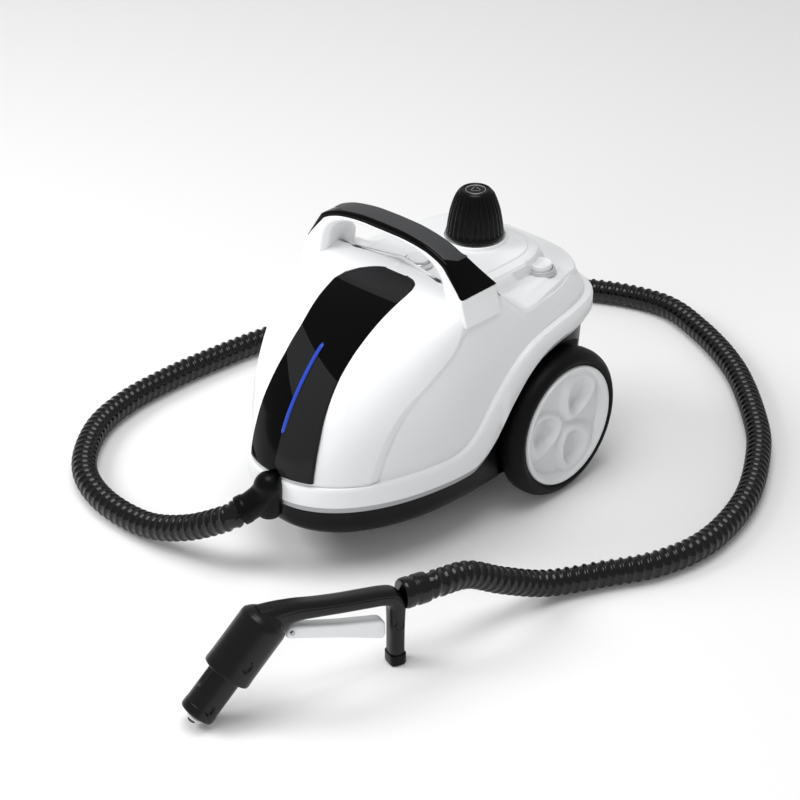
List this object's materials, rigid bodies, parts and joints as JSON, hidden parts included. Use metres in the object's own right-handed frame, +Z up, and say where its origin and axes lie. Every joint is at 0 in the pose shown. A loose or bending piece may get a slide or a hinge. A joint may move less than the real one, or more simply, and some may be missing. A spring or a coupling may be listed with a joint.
{
  "type": "steam cleaner",
  "caption": "Canister steam cleaner on two rear wheels and a swivel caster, with a carry handle, filler cap, lit front panel, corrugated hose and steam gun",
  "frame": {"origin": "on the floor, in the middle of the machine and its steam gun taken together", "axes": "+Z up, -Y the front of the machine where the hose leaves it, +X the side with the power button"},
  "size_m": [0.6472, 0.9106, 0.3162],
  "materials": {
    "white_shell": "smooth gloss white moulding",
    "white_button": "smooth white",
    "wheel_white": "satin white",
    "trigger_white": "satin white",
    "panel_black": "mirror gloss black",
    "light_blue": "translucent blue light guide",
    "chassis_black": "satin black",
    "cap_black": "satin black, ribbed",
    "gun_black": "fine satin black",
    "inlay_grey": "soft matt dark grey",
    "tyre_black": "soft black rubber",
    "hose_black": "glossy black corrugated sleeve",
    "chrome_trim": "polished",
    "steel": "plain",
    "boiler_metal": "as cast",
    "brass_parts": "plain",
    "silicone": "soft",
    "board_green": "plain"
  },
  "bodies": {
    "base": {"bumper_band": "white_shell", "front_shell": "white_shell", "rear_housing": "white_shell", "rear_deck": "white_shell", "handle_lower": "white_shell", "filler_collar": "white_shell", "front_panel": "panel_black", "handle_cover": "panel_black", "light_strip": "light_blue", "chassis_base": "chassis_black", "hose_socket": "chassis_black", "power_switch": "chassis_black", "mode_switch": "chassis_black", "thermostat": "chassis_black", "pressure_switch": "chassis_black", "gun_shell_left": "gun_black", "gun_shell_right": "gun_black", "gun_collar": "gun_black", "gun_tube": "gun_black", "gun_foot": "gun_black", "handle_inlay": "inlay_grey", "gun_nozzle": "inlay_grey", "steam_hose": "hose_black", "hose_cuff_machine": "hose_black", "hose_cuff_gun": "hose_black", "cord_gland": "hose_black", "power_bezel": "chrome_trim", "mode_bezel": "chrome_trim", "axle_stub_left": "steel", "axle_stub_right": "steel", "power_spring": "steel", "mode_spring": "steel", "boiler_cradle": "steel", "heating_element": "steel", "gun_trigger_pin": "steel", "gun_screw": "steel", "boiler_lower": "boiler_metal", "boiler_upper": "boiler_metal", "safety_valve": "brass_parts", "solenoid_valve": "brass_parts", "steam_pipe_boiler": "brass_parts", "steam_pipe_outlet": "silicone", "gun_o_ring": "silicone", "gun_steam_tube": "silicone", "led_board": "board_green"},
    "wheel_left": {"tyre_left": "tyre_black", "wheel_hub_left": "wheel_white"},
    "wheel_right": {"tyre_right": "tyre_black", "wheel_hub_right": "wheel_white"},
    "caster_swivel": {"caster_fork": "chassis_black", "caster_pin": "steel"},
    "caster_roller": {"caster_wheel": "inlay_grey"},
    "power_push": {"power_button": "white_button"},
    "mode_push": {"mode_button": "white_button"},
    "cap_seal": {"cap_gasket": "silicone"},
    "cap_screw": {"cap_plug": "brass_parts", "cap_spring": "steel"},
    "cap_grip": {"cap_shell": "cap_black", "cap_badge": "chrome_trim"},
    "trigger_lever": {"gun_trigger": "trigger_white"}
  },
  "joints": [
    {"name": "left_wheel_spin", "type": "hinge", "parent": "base", "child": "wheel_left", "pos_m": [-0.15185, 0.22025, 0.079], "axis": [1, 0, 0], "continuous": true},
    {"name": "right_wheel_spin", "type": "hinge", "parent": "base", "child": "wheel_right", "pos_m": [0.07215, 0.22025, 0.079], "axis": [1, 0, 0], "continuous": true},
    {"name": "caster_turn", "type": "hinge", "parent": "base", "child": "caster_swivel", "pos_m": [-0.03985, -0.00175, 0.044], "axis": [0, 0, 1], "continuous": true},
    {"name": "caster_roll", "type": "hinge", "parent": "caster_swivel", "child": "caster_roller", "pos_m": [-0.03985, 0.00925, 0.016], "axis": [1, 0, 0], "continuous": true},
    {"name": "power_press", "type": "slide", "parent": "base", "child": "power_push", "axis": [0, 0, -1], "range_m": [0, 0.003], "stiffness_N_per_m": 400, "deforming": ["power_spring"]},
    {"name": "mode_press", "type": "slide", "parent": "base", "child": "mode_push", "axis": [0, 0, -1], "range_m": [0, 0.002], "stiffness_N_per_m": 400, "deforming": ["mode_spring"]},
    {"name": "cap_lift", "type": "slide", "parent": "base", "child": "cap_seal", "axis": [0, 0, 1], "range_m": [0, 0.006]},
    {"name": "cap_turn", "type": "hinge", "parent": "cap_seal", "child": "cap_screw", "pos_m": [-0.03985, 0.21625, 0.254], "axis": [0, 0, 1], "range_deg": [0, 720.1]},
    {"name": "cap_press", "type": "slide", "parent": "cap_screw", "child": "cap_grip", "axis": [0, 0, -1], "range_m": [0, 0.0025], "stiffness_N_per_m": 600, "deforming": ["cap_spring"]},
    {"name": "trigger_pull", "type": "hinge", "parent": "base", "child": "trigger_lever", "pos_m": [0.12049, -0.20998, 0.073], "axis": [0.9461, -0.3239, 0], "range_deg": [0, 6], "stiffness_Nm_per_rad": 1.5}
  ],
  "couplings": [
    {"joint": "cap_turn", "follows": "cap_lift", "rad_per_m": 2094.4}
  ]
}
